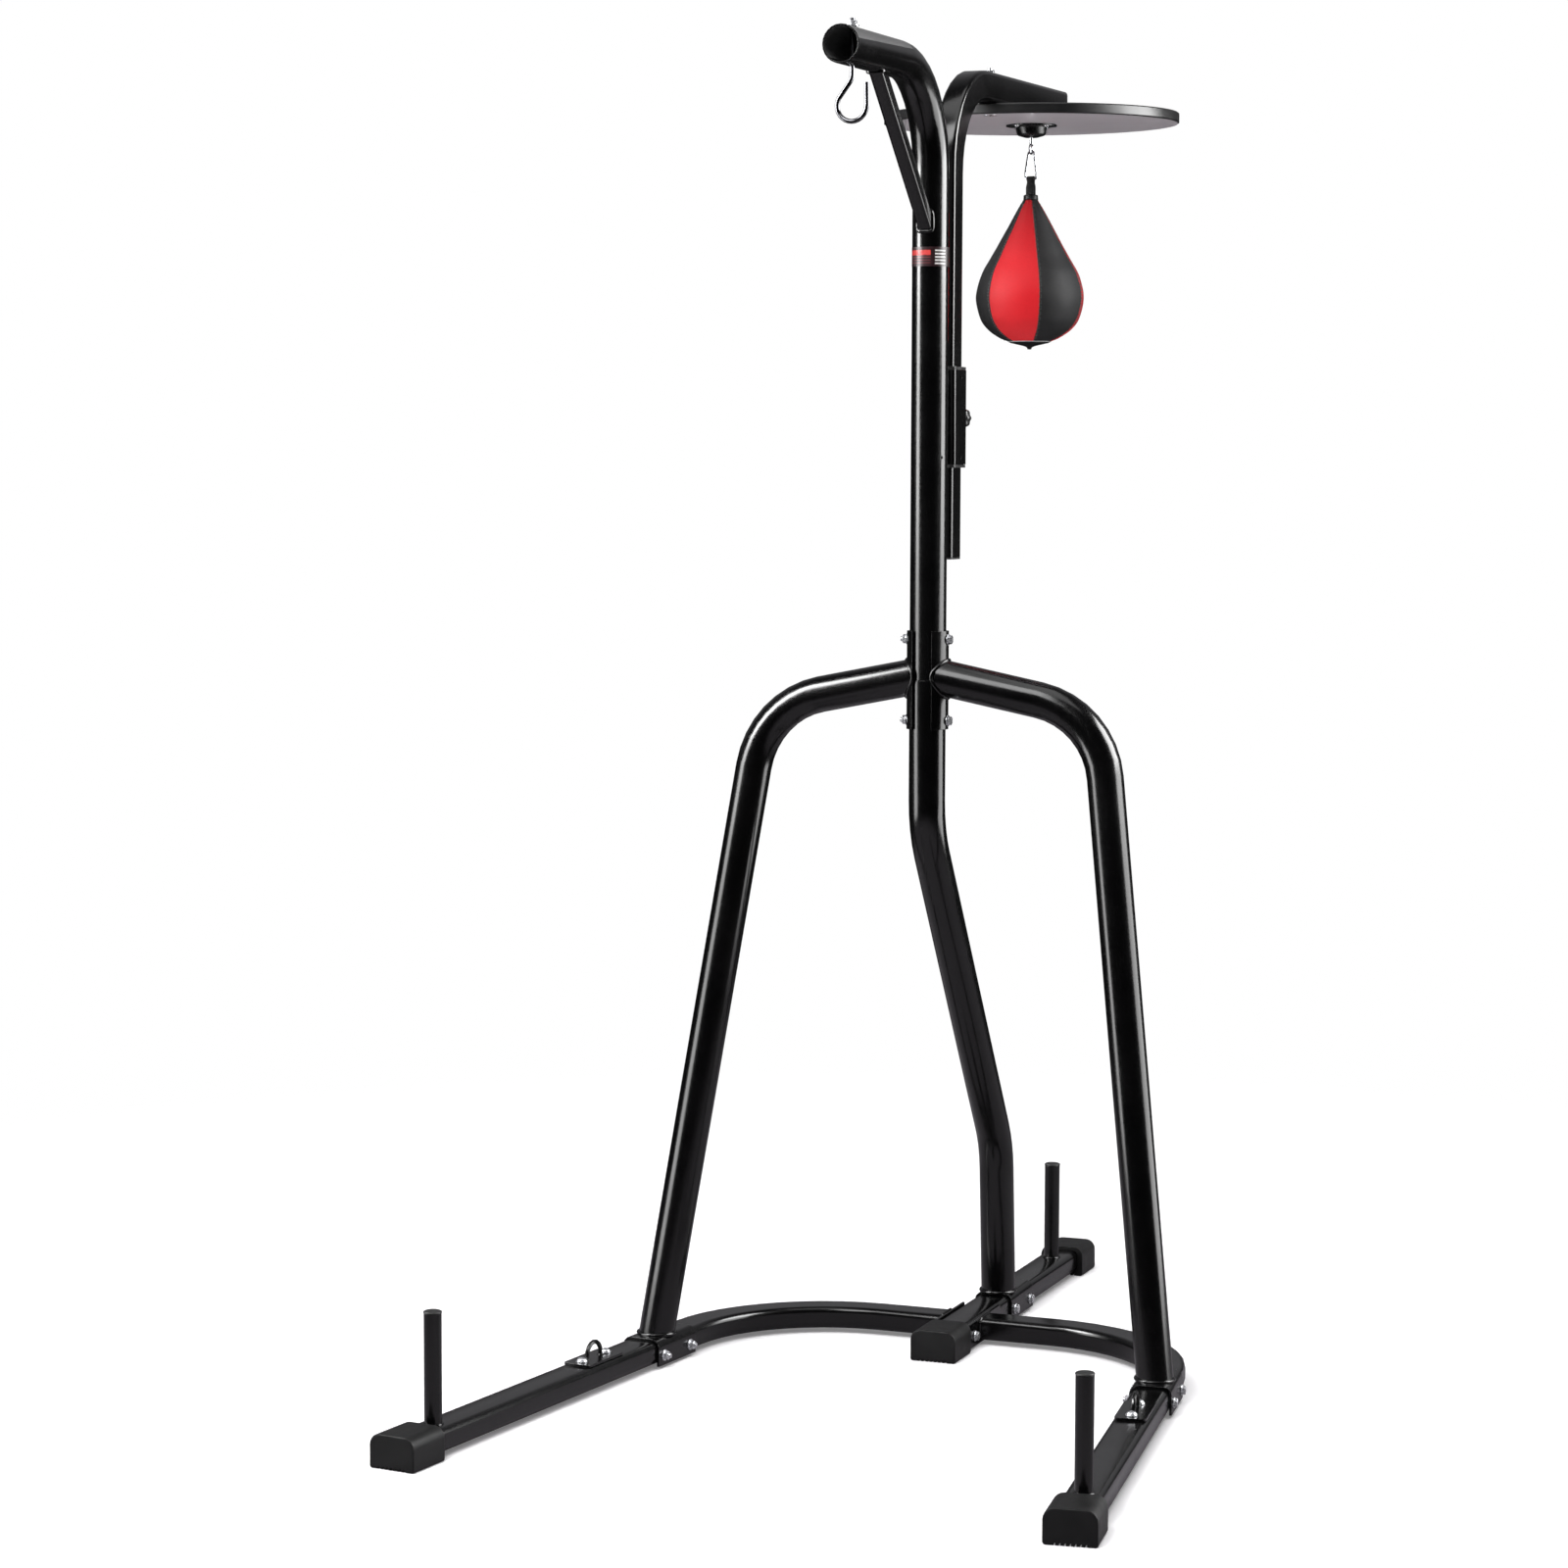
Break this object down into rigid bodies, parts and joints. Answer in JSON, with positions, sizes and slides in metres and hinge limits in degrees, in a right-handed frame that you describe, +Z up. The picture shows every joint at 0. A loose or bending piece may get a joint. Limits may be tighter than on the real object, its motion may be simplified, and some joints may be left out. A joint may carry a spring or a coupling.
{
  "type": "speed bag platform stand",
  "caption": "Free-standing boxing stand: a hook arm for a hanging bag in front, and behind it a height-adjustable round rebound platform with a pear-shaped bag on a swivel.",
  "frame": {"origin": "on the floor under the middle of the stand's bounding box", "axes": "+Z up, +X to the stand's right hand seen from the front, +Y from the hanging-bag side to the platform side"},
  "size_m": [1.136, 1.7758, 2.1805],
  "materials": {
    "powder_coat": "gloss black powder coat",
    "rubber": "matt black",
    "zinc": "zinc plated",
    "chrome": "bright plated",
    "plastic": "matt black",
    "knob": "black plastic over a steel screw",
    "board": "painted board, grey lilac with a black edge",
    "red_leather": "red and black panels",
    "black_leather": "black"
  },
  "bodies": {
    "stand": {"main_post": "powder_coat", "arm_brace": "powder_coat", "rear_post": "powder_coat", "centre_beam": "powder_coat", "centre_cradle": "powder_coat", "rear_post_saddle": "powder_coat", "guide_sleeve": "powder_coat", "rear_plate_post": "powder_coat", "left_leg": "powder_coat", "left_collar": "powder_coat", "left_foot_rail": "powder_coat", "left_rear_arc": "powder_coat", "left_leg_saddle": "powder_coat", "left_anchor_loop": "powder_coat", "left_plate_post": "powder_coat", "right_leg": "powder_coat", "right_collar": "powder_coat", "right_foot_rail": "powder_coat", "right_rear_arc": "powder_coat", "right_leg_saddle": "powder_coat", "right_anchor_loop": "powder_coat", "right_plate_post": "powder_coat", "left_foot_cap": "rubber", "right_foot_cap": "rubber", "centre_front_cap": "rubber", "centre_rear_cap": "rubber", "left_saddle_bolt_front": "zinc", "left_saddle_bolt_rear": "zinc", "right_saddle_bolt_front": "zinc", "right_saddle_bolt_rear": "zinc", "left_anchor_bolt_front": "zinc", "left_anchor_bolt_rear": "zinc", "right_anchor_bolt_front": "zinc", "right_anchor_bolt_rear": "zinc", "rear_post_bolt_front": "zinc", "rear_post_bolt_rear": "zinc", "cradle_bolt": "zinc", "collar_bolt_upper": "zinc", "collar_bolt_lower": "zinc", "left_plate_post_plug": "plastic", "right_plate_post_plug": "plastic", "rear_plate_post_plug": "plastic", "guide_bush_upper": "plastic", "guide_bush_lower": "plastic"},
    "platform": {"platform_post": "powder_coat", "post_plug_lower": "plastic", "arm_plug_rear": "plastic", "platform_board": "board", "platform_bolt": "zinc", "swivel_housing": "powder_coat"},
    "lock_knob": {"lock_knob": "knob"},
    "swivel": {"swivel_eye": "chrome"},
    "snap_hook": {"snap_hook": "chrome"},
    "snap_gate": {"snap_hook_gate": "chrome"},
    "bag": {"bag_strap": "black_leather", "speed_bag": "red_leather", "bag_base": "black_leather"},
    "hang_hook": {"heavy_bag_hook": "zinc", "hook_nut": "zinc"}
  },
  "joints": [
    {"name": "platform_height", "type": "slide", "parent": "stand", "child": "platform", "axis": [0, 0, 1], "range_m": [-0.31, 0.13]},
    {"name": "lock_knob_turn", "type": "hinge", "parent": "stand", "child": "lock_knob", "pos_m": [0, 0.10115, 1.579], "axis": [0, 1, 0], "range_deg": [0, 720]},
    {"name": "swivel_spin", "type": "hinge", "parent": "platform", "child": "swivel", "pos_m": [0, 0.55415, 2.0808], "axis": [0, 0, 1], "continuous": true},
    {"name": "snap_hook_swing", "type": "hinge", "parent": "swivel", "child": "snap_hook", "pos_m": [0, 0.55415, 2.0446], "axis": [0, 1, 0], "range_deg": [-40, 40]},
    {"name": "bag_swing", "type": "hinge", "parent": "snap_hook", "child": "bag", "pos_m": [0, 0.55415, 2.0012], "axis": [1, 0, 0], "range_deg": [-80, 80]},
    {"name": "snap_gate_open", "type": "hinge", "parent": "snap_hook", "child": "snap_gate", "pos_m": [0.01, 0.55415, 2.0112], "axis": [0, -1, 0], "range_deg": [0, 12], "stiffness_Nm_per_rad": 0.02, "springref_deg": -17.19},
    {"name": "heavy_bag_hook_turn", "type": "hinge", "parent": "stand", "child": "hang_hook", "pos_m": [0, -0.35605, 2.13736], "axis": [0, 0, 1], "continuous": true}
  ]
}
